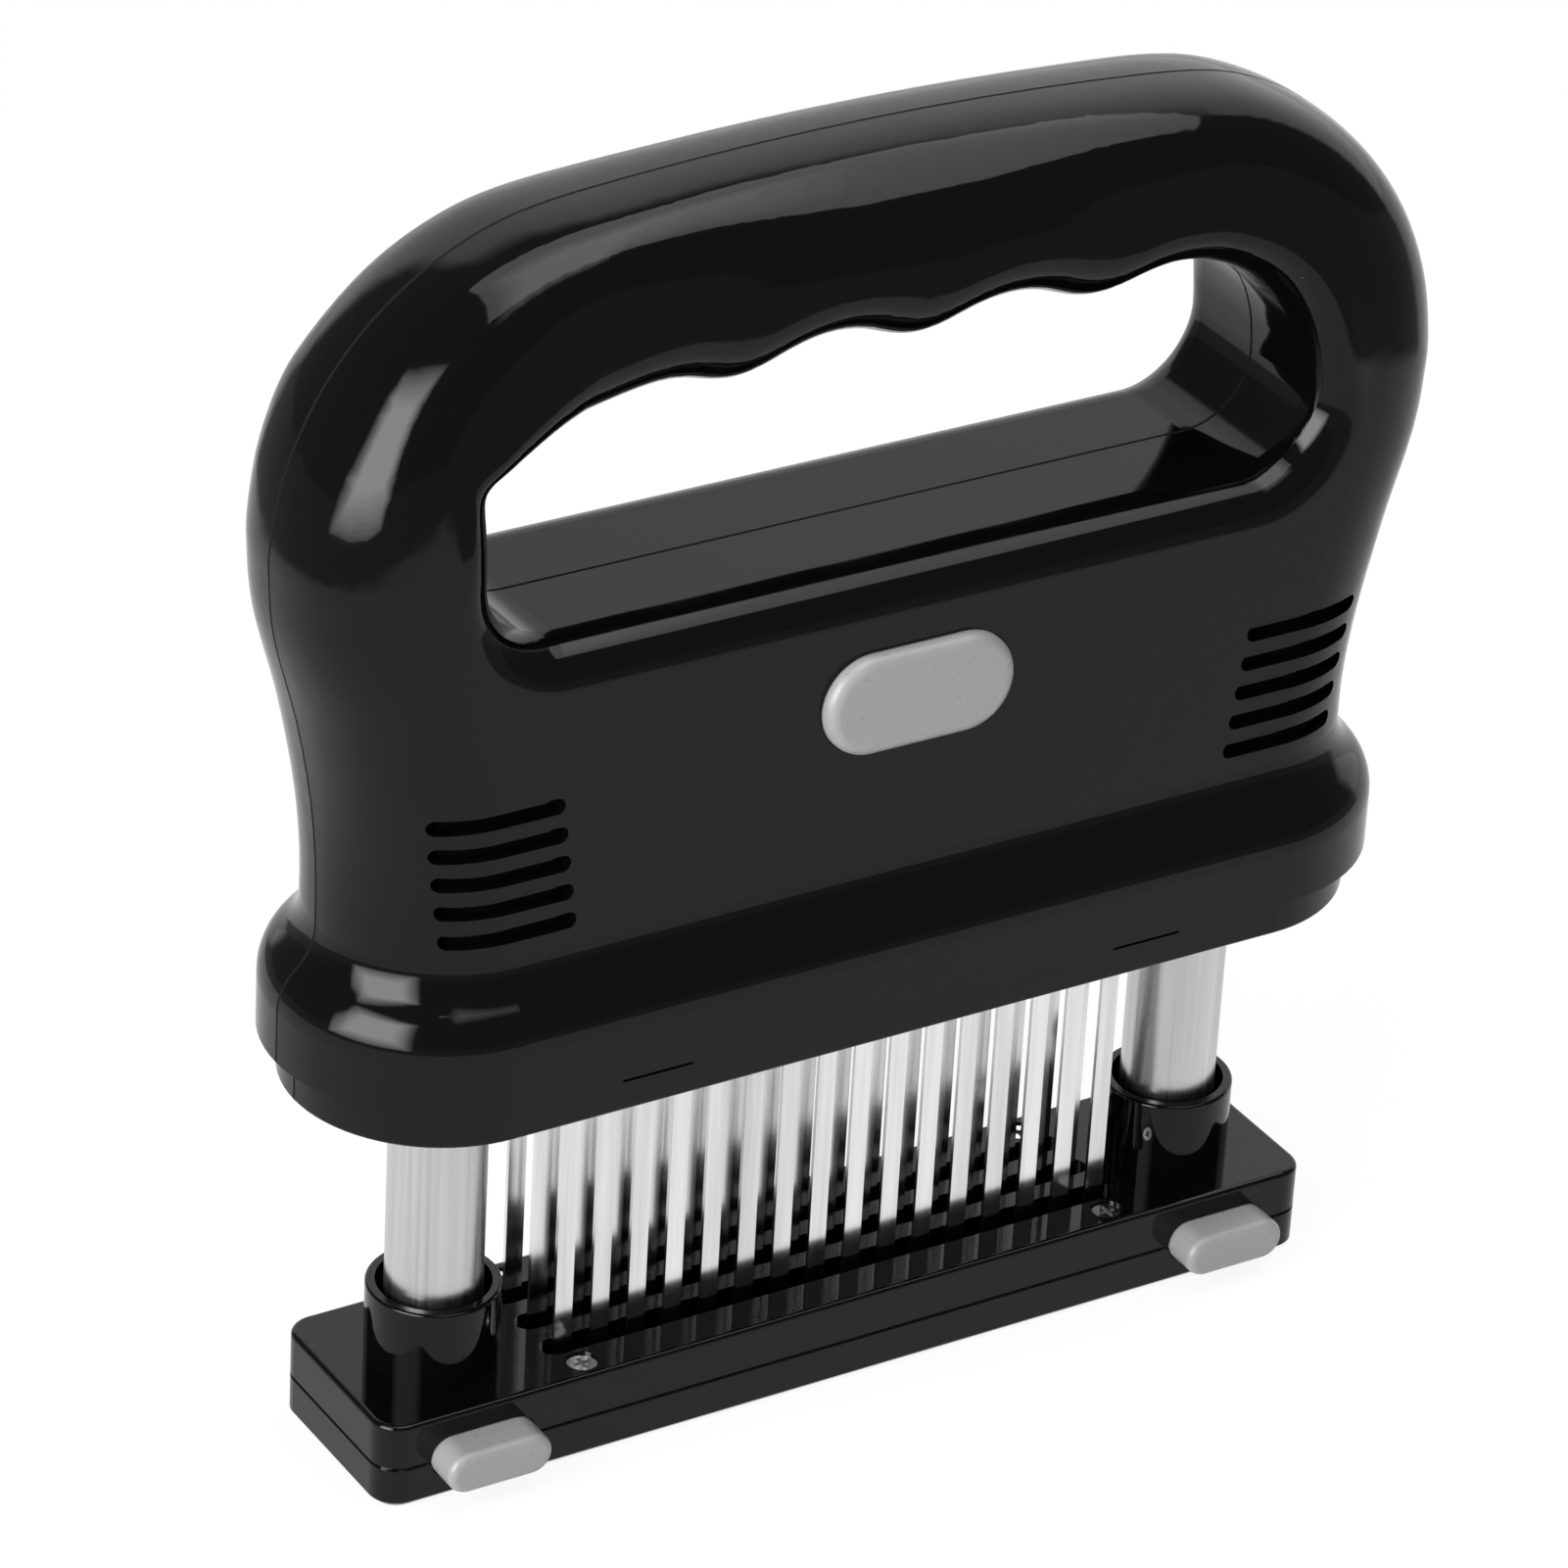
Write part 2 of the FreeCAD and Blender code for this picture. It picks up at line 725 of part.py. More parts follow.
def opening_cut(margin):
    reach = opening_half_length + margin
    floor = opening_floor - margin
    cut = block(-reach, reach, -very_far, very_far, floor, very_far)
    low = [edge for edge in cut.Edges
           if abs(edge.BoundBox.ZMax - floor) < 0.01 and edge.BoundBox.YLength > very_far]
    return cut.makeFillet(opening_floor_corner + margin, low)


def opening_rim():
    # what the rounding of the opening's front edge takes away: a slab with a bead left standing round it
    radius = opening_edge_round
    bead_y = radius - housing_half_depth
    straight = opening_half_length - opening_floor_corner
    bend = opening_floor + opening_floor_corner
    beads = [Part.makeCylinder(radius, 2 * straight, Vector(-straight, bead_y, opening_floor - radius),
                               Vector(1, 0, 0))]
    for side in (-1, 1):
        beads.append(rod(side * (opening_half_length + radius), bead_y, bend, very_far, radius))
        ring = Part.makeTorus(opening_floor_corner + radius, radius, Vector(side * straight, bead_y, bend),
                              Vector(0, 1, 0))
        start, end = sorted((side * straight, side * very_far))
        beads.append(ring.common(block(start, end, -very_far, very_far, -very_far, bend)))
    slab = opening_cut(radius).common(block(-very_far, very_far, -very_far, bead_y, -very_far, very_far))
    return slab.cut(beads)


def vent_cuts():
    cuts = []
    for side in (-1, 1):
        for number in range(vent_count):
            inner = vent_inner_x + number * vent_lean
            x = side * (inner + vent_length / 2)
            z = vent_bottom + number * vent_pitch
            cuts.append(stadium_plug(vent_length / 2, vent_height / 2, x, z, -very_far, 0))
    return cuts


def housing_solid():
    whole = housing_loft(waist_height, shoulder_height, 0).fuse(flange())
    whole = whole.cut([opening_cut(0), opening_rim()])
    floor_of_vents = housing_loft(waist_height, shoulder_height, vent_depth)
    floor_of_vents = floor_of_vents.fuse(stadium(housing_end_half_length - vent_depth,
                                                 housing_half_depth - vent_depth, flange_bottom, waist_height))
    for cut in vent_cuts():
        whole = whole.cut(cut.cut(floor_of_vents))
    return whole


def housing_cavity():
    gap = shell_to_cassette_gap
    low = stadium(cassette_half_length + gap, cassette_half_width + gap, 0, cassette_shoulder)
    waist = stadium(housing_end_half_length - shell_wall, housing_half_depth - shell_wall, 0, waist_height)
    high = housing_loft(waist_height, cavity_top, shell_wall)
    return low.fuse(waist).fuse(high)


# ---- handle: bow and grip ---------------------------------------------------
def underside_height(x, side):
    start, base, power = corner_shape(side)
    if x <= start:
        return grip_underside
    along = min(1, (x - start) / (opening_half_length - start))
    return base + (grip_underside - base) * (1 - along ** power) ** (1 / power)


def corner_shape(side):
    if side < 0:
        return left_corner_start, left_corner_height, left_corner_power
    return right_corner_start, right_corner_height, right_corner_power


def inner_distance(angle, side):
    # distance from the bow centre to the edge of the finger opening
    start, base, power = corner_shape(side)
    near = 0.0
    far = 2 * bow_radius
    for halving in range(40):
        middle = (near + far) / 2
        x = bow_centre_x + middle * math.cos(angle)
        z = bow_centre_z + middle * math.sin(angle)
        across = max(0, x - start) / (opening_half_length - start)
        up = max(0, z - base) / (grip_underside - base)
        if across ** power + up ** power < 1:
            near = middle
        else:
            far = middle
    return near


def finger_ridge(x):
    ridge = 0
    for number in finger_ridges:
        away = (x - finger_offset - number * finger_pitch) / finger_ridge_width
        ridge += finger_ridge_height * math.exp(-away ** 2)
    return ridge


def bow_station(kind, value, side):
    # place, outward direction, reaches outwards and inwards, distance run
    if kind == "arm":
        start, base, power = corner_shape(side)
        up = max(0, value - base) / (grip_underside - base)
        inner_x = start + (opening_half_length - start) * (1 - up ** power) ** (1 / power)
        arm_x = bow_centre_x + bow_radius
        return arm_x, value, 0, shoulder_half_length - arm_x, arm_x - inner_x, value - shoulder_height
    arm_run = bow_centre_z - shoulder_height
    if kind == "bow":
        along_x = outer_corner_x - bow_centre_x
        along_z = outer_corner_z - bow_centre_z
        toward = along_x * math.cos(value) + along_z * math.sin(value)
        aside = along_x * math.sin(value) - along_z * math.cos(value)
        outward = toward + math.sqrt(outer_corner_radius ** 2 - aside ** 2) - bow_radius
        x = bow_centre_x + bow_radius * math.cos(value)
        z = bow_centre_z + bow_radius * math.sin(value)
        inward = bow_radius - inner_distance(value, side) + finger_ridge(side * x) * math.sin(value) ** 2
        return x, z, value, outward, inward, arm_run + bow_radius * value
    z = bow_centre_z + bow_radius
    outward = grip_crown_reach - value ** 2 / (2 * grip_crown_radius)
    inward = z - underside_height(value, side) + finger_ridge(side * value)
    run = arm_run + bow_radius * math.pi / 2 + bow_centre_x - value
    return value, z, math.pi / 2, outward, inward, run


def bow_section(kind, value, side, inset):
    x, z, angle, outward, inward, run = bow_station(kind, value, side)
    share = smooth_step(run / blend_length)
    depth = between(housing_half_depth, grip_half_depth, share)
    inner_round = between(opening_edge_round, inward - least_straight, share)
    inner_depth = between(opening_edge_round, depth - least_straight, share)
    outer_round = between(arm_end_round, outward, share)
    outer_round = min(outer_round, outward + inward - inner_round - least_straight)
    outward -= inset
    inward -= inset
    depth -= inset
    outer_round -= inset
    inner_round = max(inner_round - inset, least_straight)
    inner_depth = max(inner_depth - inset, least_straight)
    out = Vector(side * math.cos(angle), 0, math.sin(angle))
    front = Vector(0, -1, 0)
    origin = Vector(side * x, 0, z)
    outer_centre = origin + out * (outward - outer_round)
    inner_centre = origin - out * (inward - inner_round) + front * (depth - inner_depth)
    outer_fullness = between(arm_fullness, grip_fullness, share)
    inner_fullness = between(round_fullness, underside_fullness, share)
    outer = rounded_quarter(outer_centre, out * outer_round, front * depth, outer_fullness)
    inner = rounded_quarter(inner_centre, out * -inner_round, front * inner_depth, inner_fullness)
    outer_tip = outer_centre + out * outer_round
    front_a = outer_centre + front * depth
    front_b = inner_centre + front * inner_depth
    inner_a = inner_centre - out * inner_round
    inner_b = origin - out * inward
    edges = [outer, Part.makeLine(front_a, front_b), inner, Part.makeLine(inner_a, inner_b),
             Part.makeLine(inner_b, outer_tip)]
    return Part.Wire(edges)


def bow_stations():
    half = [("arm", shoulder_height), ("arm", (shoulder_height + bow_centre_z) / 2)]
    bow_steps = 10
    half += [("bow", math.pi / 2 * step / bow_steps) for step in range(bow_steps + 1)]
    grip_steps = 14
    half += [("grip", bow_centre_x * (1 - step / grip_steps)) for step in range(1, grip_steps + 1)]
    right = [(kind, value, 1) for kind, value in half]
    left = [(kind, value, -1) for kind, value in reversed(half[:-1])]
    return right + left


def bow_solid(inset):
    sections = [bow_section(kind, value, side, inset) for kind, value, side in bow_stations()]
    return Part.makeLoft(sections, True, False)


# ---- handle: whole shells ---------------------------------------------------
def handle_screw_places():
    low = [(sx * handle_screw_low_x, handle_screw_low_z) for sx in (-1, 1)]
    high = [(sx * handle_screw_high_x, handle_screw_high_z) for sx in (-1, 1)]
    return low + high


def plain_shell():
    bow = bow_solid(0)
    hollow = bow.cut(bow_solid(shell_wall))
    bosses = []
    for x, z in handle_screw_places()[2:]:
        bosses.append(rod_along_y(x, z, -very_far, 0, handle_boss_radius).common(bow))
    housing = housing_solid().cut(housing_cavity())
    return joined([housing, hollow] + bosses)


def handle_front_shell(shell):
    hole_half_length = release_half_length + release_gap
    hole_half_height = release_half_height + release_gap
    cuts = [stadium_plug(hole_half_length, hole_half_height, 0, release_height, -very_far, 0)]
    for x, z in handle_screw_places():
        cuts.append(rod_along_y(x, z, handle_screw_tip, 1, handle_screw_shank_radius))
    return shell.cut(cuts)


def handle_rear_shell(shell):
    rear = shell.mirror(Vector(0, 0, 0), Vector(0, 1, 0))
    peg_end = -release_block_back + release_spring_length + release_travel
    peg = rod_along_y(0, release_height, peg_end, housing_half_depth - shell_wall / 2, release_peg_radius)
    rear = joined([rear, peg])
    cuts = []
    for x, z in handle_screw_places():
        hole_radius = handle_screw_shank_radius + screw_hole_clearance
        cuts.append(rod_along_y(x, z, -1, handle_screw_head_seat, hole_radius))
        cuts.append(rod_along_y(x, z, handle_screw_head_seat, very_far, handle_counterbore_radius))
    return rear.cut(cuts)


def handle_screws():
    screws = []
    for x, z in handle_screw_places():
        shank = rod_along_y(x, z, handle_screw_tip, handle_screw_head_seat, handle_screw_shank_radius)
        head = rod_along_y(x, z, handle_screw_head_seat, handle_screw_head_seat + handle_screw_head_height,
                           handle_screw_head_radius)
        screws.append(joined([shank, head]))
    return Part.makeCompound(screws)


# ---- release button ---------------------------------------------------------
def release_button():
    wall_inside = -housing_half_depth + shell_wall
    knob = stadium_plug(release_half_length, release_half_height, 0, release_height,
                        -release_face, wall_inside)
    knob = knob.makeFillet(release_edge_round, edges_in_plane(knob, "Y", -release_face))
    margin = release_flange_margin
    flange_plate = stadium_plug(release_half_length + margin, release_half_height + margin, 0, release_height,
                                wall_inside, wall_inside + release_flange_depth)
    half = release_block_half_width
    core = block(-half, half, wall_inside, -release_block_back, release_block_bottom, release_block_top)
    leg_front = -release_block_back - release_leg_thickness
    leg = block(-half, half, leg_front, -release_block_back, release_leg_bottom, release_block_bottom)
    tooth = block(-half, half, -release_tooth_reach, leg_front, release_tooth_bottom, release_tooth_top)
    lead_in = [edge for edge in edges_in_plane(tooth, "Y", -release_tooth_reach)
               if abs(edge.BoundBox.ZMax - release_tooth_bottom) < 0.01]
    tooth = tooth.makeChamfer((release_tooth_reach + leg_front) / 2, lead_in)
    return joined([knob, flange_plate, core, leg, tooth])


def release_spring():
    return coil_along_y(release_spring_radius, release_spring_wire, release_spring_turns, 0, release_height,
                        -release_block_back, -release_block_back + release_spring_length)


# ---- all pieces -------------------------------------------------------------
save(base_top_plate(), "base_top_plate")
save(base_bottom_plate(), "base_bottom_plate")
save(base_screws(), "base_screws")
for side_name, side_sign in post_sides:
    save(guide_post(side_sign), "guide_post_" + side_name)
    save(post_foot(side_sign), "post_foot_" + side_name)
    save(return_spring(side_sign), "return_spring_" + side_name)
    save(base_button(side_sign), "base_button_" + side_name)
    save(base_button_spring(side_sign), "base_button_spring_" + side_name)
    save(post_bush(side_sign), "post_bush_" + side_name)

cassette_body = cassette()
save(front_half(cassette_body), "cassette_front")
save(rear_half(cassette_body), "cassette_rear")
save(blade_carrier(), "blade_carrier")
save(blade_clamp_plate(), "blade_clamp_plate")
save(clamp_screws(), "clamp_screws")
for row_name, row_side in row_names:
    save(blade_row(row_side), "blade_row_" + row_name)

shell_half = plain_shell()
save(handle_front_shell(shell_half), "handle_front_shell")
save(handle_rear_shell(shell_half), "handle_rear_shell")
save(handle_screws(), "handle_screws")
save(release_button(), "release_button")
save(release_spring(), "release_spring")
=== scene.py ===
# %% [markdown]
# # A blade meat tenderizer, dressed in Blender
# The construction comes from the imported CAD model, which is loaded first and
# never moved. Its solids have the tool's shapes already, so this lesson adds
# what the eye needs around them: the camera, the room with its lamps, the
# finishes, and merged copies of the two return springs.

import bpy
import bmesh
import math
from mathutils import Matrix, Vector


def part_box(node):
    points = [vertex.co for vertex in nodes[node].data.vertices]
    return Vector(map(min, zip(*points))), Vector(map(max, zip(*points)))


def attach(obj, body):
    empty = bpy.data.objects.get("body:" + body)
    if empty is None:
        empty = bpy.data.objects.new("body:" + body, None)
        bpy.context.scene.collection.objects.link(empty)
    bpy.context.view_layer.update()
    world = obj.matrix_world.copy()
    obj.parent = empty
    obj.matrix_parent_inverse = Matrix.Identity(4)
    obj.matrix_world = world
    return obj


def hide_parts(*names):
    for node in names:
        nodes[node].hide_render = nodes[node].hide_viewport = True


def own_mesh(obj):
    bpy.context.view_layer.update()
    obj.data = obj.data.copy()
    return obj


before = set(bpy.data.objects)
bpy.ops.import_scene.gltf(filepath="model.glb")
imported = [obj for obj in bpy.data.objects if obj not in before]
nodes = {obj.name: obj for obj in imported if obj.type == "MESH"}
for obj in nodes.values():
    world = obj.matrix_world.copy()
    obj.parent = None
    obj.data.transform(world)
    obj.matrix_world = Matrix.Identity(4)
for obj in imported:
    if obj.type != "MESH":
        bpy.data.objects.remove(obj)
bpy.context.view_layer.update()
MM = 0.001
scene = bpy.context.scene
print("nodes loaded:", len(nodes))

# %% [markdown]
# ## The camera
# The tool is looked at from its front left and from above, through a long
# lens, so its edges stay almost parallel. A camera could be aimed at a target
# with a constraint, but that leaves no room for a tilt of the horizon. Here its
# three axes are worked out from two turns and a small roll and stacked into a
# matrix, so the roll is part of the view.

# %% Which way the camera looks
view_turn = math.radians(32.52)
view_height = math.radians(29.35)
view_roll = math.radians(3.26)

level_right = Vector((math.cos(view_turn), -math.sin(view_turn), 0))
level_up = Vector((math.sin(view_turn) * math.sin(view_height),
                   math.cos(view_turn) * math.sin(view_height),
                   math.cos(view_height)))
back = level_right.cross(level_up)
right = level_right * math.cos(view_roll) + level_up * math.sin(view_roll)
up = level_up * math.cos(view_roll) - level_right * math.sin(view_roll)
print("looking along", tuple(round(-part, 3) for part in back))

# %% Camera
camera_place = Vector((-375.46, -579.17, 455.45)) * MM
nearest_seen = 0.01
furthest_seen = 20.0

camera_data = bpy.data.cameras.new("camera")
camera_data.lens = 172.5
camera_data.sensor_width = 36.0
camera_data.clip_start = nearest_seen
camera_data.clip_end = furthest_seen
camera = bpy.data.objects.new("camera", camera_data)
scene.collection.objects.link(camera)
axes = Matrix((right, up, back)).transposed().to_4x4()
camera.matrix_world = Matrix.Translation(camera_place) @ axes
scene.camera = camera
print("camera at", tuple(round(part, 3) for part in camera_place))

# %% [markdown]
# ## Helpers for node trees
# A material, the world and a node group are all trees of small nodes. They can
# be clicked together in the shader editor, or made in code, which can be read
# and repeated. These helpers keep that code to about one line a node.

# %% Making and feeding nodes
def new_material(name):
    material = bpy.data.materials.new(name)
    material.use_nodes = True
    material.node_tree.nodes.clear()
    return material


def add_node(tree, kind, **values):
    node = tree.nodes.new(kind)
    for name, value in values.items():
        setattr(node, name, value)
    return node


def link(tree, start, end):
    tree.links.new(start, end)


def feed(tree, socket, value):
    """A socket takes a plain number or tuple, or else another node's output."""
    if isinstance(value, (int, float, tuple)):
        socket.default_value = value
    else:
        link(tree, value, socket)


# %% Sums, soft steps and vectors
def math_node(tree, operation, *values):
    node = add_node(tree, "ShaderNodeMath", operation=operation)
    for socket, value in zip(node.inputs, values):
        feed(tree, socket, value)
    return node.outputs[0]


def ramp(tree, value, low, high):
    """A soft step from 0 at low to 1 at high."""
    step = add_node(tree, "ShaderNodeMapRange", interpolation_type="SMOOTHSTEP")
    feed(tree, step.inputs["Value"], value)
    feed(tree, step.inputs["From Min"], low)
    feed(tree, step.inputs["From Max"], high)
    return step.outputs[0]


def vector_node(tree, operation, first, second=None, scale=None):
    node = add_node(tree, "ShaderNodeVectorMath", operation=operation)
    feed(tree, node.inputs[0], first)
    if second is not None:
        feed(tree, node.inputs[1], second)
    if scale is not None:
        feed(tree, node.inputs["Scale"], scale)
    gives_number = operation in ("DOT_PRODUCT", "LENGTH")
    return node.outputs["Value" if gives_number else "Vector"]


def parts_of(tree, vector):
    """The X, Y and Z outputs of a vector that is taken apart."""
    apart = add_node(tree, "ShaderNodeSeparateXYZ")
    link(tree, vector, apart.inputs[0])
    return apart.outputs


# %% [markdown]
# ## The floor
# Black gloss is drawn by what it reflects, so the surroundings matter more than
# the paint. The tool stands on a pale table in a dim room, with a white
# backdrop behind it and to its right. The table could be modelled as a slab
# with an end, but then its edge would show. It is one very large plane instead.
# The eye sees it white, apart from the soft shadow at the tool's foot. In a
# reflection it is a pool of light that ends where a table top would, and it
# runs on only towards the backdrop. What kind of ray asks decides between the
# two, so neither of them lights the tool from below.

# %% Floor plane
floor_size = 30.0

bpy.ops.object.select_all(action="DESELECT")
bpy.ops.mesh.primitive_plane_add(size=floor_size, location=(0, 0, 0))
floor = bpy.context.object
floor.name = "floor"
bpy.ops.object.transform_apply(location=True, rotation=True, scale=True)
print("floor", floor_size, "m across")

# %% Where the backdrop is
backdrop_turn = math.radians(50)
# cosines of the angle from its middle, between which it fades out
backdrop_spread = (0.58, 0.70)
backdrop_way = (math.cos(backdrop_turn), math.sin(backdrop_turn), 0)


def towards_backdrop(tree, direction):
    """1 inside the backdrop's share of the horizon, 0 outside, soft between."""
    flat = vector_node(tree, "MULTIPLY", direction, (1, 1, 0))
    unit = vector_node(tree, "NORMALIZE", flat)
    along = vector_node(tree, "DOT_PRODUCT", unit, backdrop_way)
    return ramp(tree, along, *backdrop_spread)


# %% How bright the floor is in a reflection
# the table top fades out between these two distances
table_reach = (0.30, 0.36)
table_level = 0.80
beyond_level = 0.26

floor_material = new_material("pale_floor")
tree = floor_material.node_tree
place = add_node(tree, "ShaderNodeTexCoord").outputs["Object"]
off_table = ramp(tree, vector_node(tree, "LENGTH", place), *table_reach)
on_table = math_node(tree, "SUBTRACT", 1.0, off_table)
lit = math_node(tree, "MAXIMUM", on_table, towards_backdrop(tree, place))
mirror_level = math_node(tree, "MULTIPLY_ADD", lit, table_level - beyond_level, beyond_level)
print("table ends at", table_reach[1], "m")

# %% What the eye and a reflection see of the floor
floor_colour = (0.85, 0.85, 0.85, 1)
floor_glow = 0.90

matt = add_node(tree, "ShaderNodeBsdfDiffuse")
matt.inputs["Color"].default_value = floor_colour
white_glow = add_node(tree, "ShaderNodeEmission")
white_glow.inputs["Strength"].default_value = 1.0
mirror_glow = add_node(tree, "ShaderNodeEmission")
link(tree, mirror_level, mirror_glow.inputs["Strength"])

paths = add_node(tree, "ShaderNodeLightPath").outputs
seen = math_node(tree, "MULTIPLY", paths["Is Camera Ray"], floor_glow)
mirrored = math_node(tree, "MAXIMUM", paths["Is Glossy Ray"], paths["Is Transmission Ray"])


def mix_shaders(tree, share, first, second):
    mix = add_node(tree, "ShaderNodeMixShader")
    for socket, value in zip(mix.inputs, (share, first, second)):
        link(tree, value, socket)
    return mix.outputs[0]


to_eye = mix_shaders(tree, seen, matt.outputs[0], white_glow.outputs[0])
to_all = mix_shaders(tree, mirrored, to_eye, mirror_glow.outputs[0])
out = add_node(tree, "ShaderNodeOutputMaterial")
link(tree, to_all, out.inputs["Surface"])
floor.data.materials.append(floor_material)
print("floor material", floor_material.name, len(tree.nodes), "nodes")

# %% [markdown]
# ## The room
# The backdrop is a white sheet that ends overhead, and the rest of the room is
# dim. Real sheets could be hung around the tool, but they would throw shadows
# and turn up in the views from behind. The world's colour does the same: it is
# bright towards the backdrop and low above it, and plain white to the eye.

# %% Room
room_level = 0.16
backdrop_level = 1.12
backdrop_top = (0.72, 0.84)
white = (1, 1, 1, 1)

world = bpy.data.worlds.new("room")
world.use_nodes = True
scene.world = world
tree = world.node_tree
tree.nodes.clear()
direction = add_node(tree, "ShaderNodeTexCoord").outputs["Generated"]
overhead = ramp(tree, parts_of(tree, direction)["Z"], *backdrop_top)
below_top = math_node(tree, "SUBTRACT", 1.0, overhead)
share = math_node(tree, "MULTIPLY", below_top, towards_backdrop(tree, direction))
level = math_node(tree, "MULTIPLY_ADD", share, backdrop_level - room_level, room_level)
to_camera = add_node(tree, "ShaderNodeLightPath").outputs["Is Camera Ray"]
surround = add_node(tree, "ShaderNodeBackground")
surround.inputs["Color"].default_value = white
link(tree, math_node(tree, "MAXIMUM", to_camera, level), surround.inputs["Strength"])
out = add_node(tree, "ShaderNodeOutputWorld")
link(tree, surround.outputs[0], out.inputs["Surface"])
print("room level", room_level, "backdrop level", backdrop_level)

# %% [markdown]
# ## Soft boxes
# Three soft boxes draw the bands of light on the handle: two overhead for the
# long one on the grip, and one on the left for the bars down its end. A single
# area lamp would be enough to light the tool, but it mirrors as a flat patch
# with a hard edge. A real soft box is brightest in its middle. A stack of lamps
# that share a centre and shrink step by step fades in the same way.

# %% Soft boxes
layer_gap = 1 * MM


def soft_box(name, place, facing, width, height, radiance, layers=1, smallest=1.0):
    """Lamps one behind the other, from full size to the smallest share of it."""
    turn = Vector(facing).to_track_quat("-Z", "Y").to_matrix().to_4x4()
    for layer in range(layers):
        share = 1 - (1 - smallest) * layer / max(layers - 1, 1)
        lamp = bpy.data.lights.new(name, "AREA")
        lamp.shape = "RECTANGLE"
        lamp.size = width * share
        lamp.size_y = height * share
        lamp.energy = radiance / layers * math.pi * lamp.size * lamp.size_y
        box = bpy.data.objects.new(name, lamp)
        scene.collection.objects.link(box)
        step_back = Vector(facing) * (-layer * layer_gap)
        box.matrix_world = Matrix.Translation(Vector(place) + step_back) @ turn


down = (0, 0, -1)
rightwards = (0.949, 0.316, 0)
soft_box("soft_box_overhead", (0.09, -0.26, 0.90), down,
         width=0.64, height=0.90, radiance=2.3, layers=5, smallest=0.64)
soft_box("soft_box_ceiling", (0.16, -0.08, 0.92), down,
         width=0.92, height=0.84, radiance=2.2)
soft_box("soft_box_left", (-0.57, -0.19, 0.34), rightwards,
         width=0.56, height=0.74, radiance=10.5, layers=9, smallest=0.52)

# %% [markdown]
# ## Helpers for finishes
# Effects that several materials share, such as the waves of moulded plastic or
# the grain of steel, are node groups with named sockets. Copying their nodes
# into every material would work too, but then a change has to be made in each
# copy. A group is built once, and each material sets its own values on it.

# %% Making groups
socket_kinds = {"colour": "NodeSocketColor", "number": "NodeSocketFloat", "vector": "NodeSocketVector"}


def new_group(name, takes, gives):
    """A group, its input sockets and its output sockets; takes has start values."""
    group = bpy.data.node_groups.new(name, "ShaderNodeTree")
    for title, kind, value in takes:
        socket = group.interface.new_socket(
            name=title, in_out="INPUT", socket_type=socket_kinds[kind])
        if value is not None:
            socket.default_value = value
    for title, kind in gives:
        group.interface.new_socket(name=title, in_out="OUTPUT", socket_type=socket_kinds[kind])
    start = add_node(group, "NodeGroupInput")
    end = add_node(group, "NodeGroupOutput")
    return group, start.outputs, end.inputs


# %% Noise, tints, bumps and humps
def noise(tree, place, scale, detail):
    cloud = add_node(tree, "ShaderNodeTexNoise")
    feed(tree, cloud.inputs["Vector"], place)
    feed(tree, cloud.inputs["Scale"], scale)
    feed(tree, cloud.inputs["Detail"], detail)
    return cloud.outputs["Fac"]


def tinted(tree, colour, shade):
    """The colour made darker or lighter by a shade around 1."""
    tint = add_node(tree, "ShaderNodeMix", data_type="RGBA", blend_type="MULTIPLY")
    tint.inputs["Factor"].default_value = 1.0
    link(tree, colour, tint.inputs["A"])
    link(tree, shade, tint.inputs["B"])
    return tint.outputs["Result"]


bump_depth = 0.1 * MM


def bumped(tree, height, strength, facing=None):
    """A normal that follows a height; facing is the normal to start from."""
    bump = add_node(tree, "ShaderNodeBump")
    bump.inputs["Distance"].default_value = bump_depth
    link(tree, height, bump.inputs["Height"])
    link(tree, strength, bump.inputs["Strength"])
    if facing is not None:
        link(tree, facing, bump.inputs["Normal"])
    return bump.outputs["Normal"]


def hump(tree, value, rise, fall):
    """1 between the end of rise and the start of fall, 0 outside, soft between."""
    falling = math_node(tree, "SUBTRACT", 1.0, ramp(tree, value, *fall))
    return math_node(tree, "MULTIPLY", ramp(tree, value, *rise), falling)


# %% [markdown]
# ## A rounder grip
# The front of the real grip is a little rounder than the frame's section. That
# would best be cut into the solid, but here the frame is fixed, and a new skin
# over it would fight with the finger ridges. A group that leans the shading
# normal moves the bands of light to where a rounder front carries them, and
# leaves the outline alone. The lean is an angle from "outward", which points up
# over the grip and turns with the bow. It is largest halfway down the front in
# the middle of the grip, and again just above the finger rim, all along.

# %% The group and the bow's centre line
bow_centre_x = 36.3 * MM
crown_above_bow_centre = 32.95 * MM
bow_centre_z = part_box("handle_front_shell")[1][2] - crown_above_bow_centre

rounder, given, result = new_group(
    "rounder_grip", (("Normal", "vector", None),), (("Normal", "vector"),))
facing = given["Normal"]
point = add_node(rounder, "ShaderNodeTexCoord").outputs["Object"]
spot = parts_of(rounder, point)
print("bow's centre line at height", round(bow_centre_z / MM, 2), "mm")

# %% Outward from the bow
near = add_node(rounder, "ShaderNodeCombineXYZ")
not_past_right = math_node(rounder, "MINIMUM", spot["X"], bow_centre_x)
not_past_left = math_node(rounder, "MAXIMUM", not_past_right, -bow_centre_x)
link(rounder, not_past_left, near.inputs["X"])
link(rounder, spot["Y"], near.inputs["Y"])
link(rounder, math_node(rounder, "MINIMUM", spot["Z"], bow_centre_z), near.inputs["Z"])
from_line = vector_node(rounder, "SUBTRACT", point, near.outputs[0])
outward = vector_node(rounder, "NORMALIZE", from_line)
rising = vector_node(rounder, "DOT_PRODUCT", facing, outward)
tilt = math_node(rounder, "DEGREES", math_node(rounder, "ARCCOSINE", rising))
print("tilt is measured from outward, in degrees")

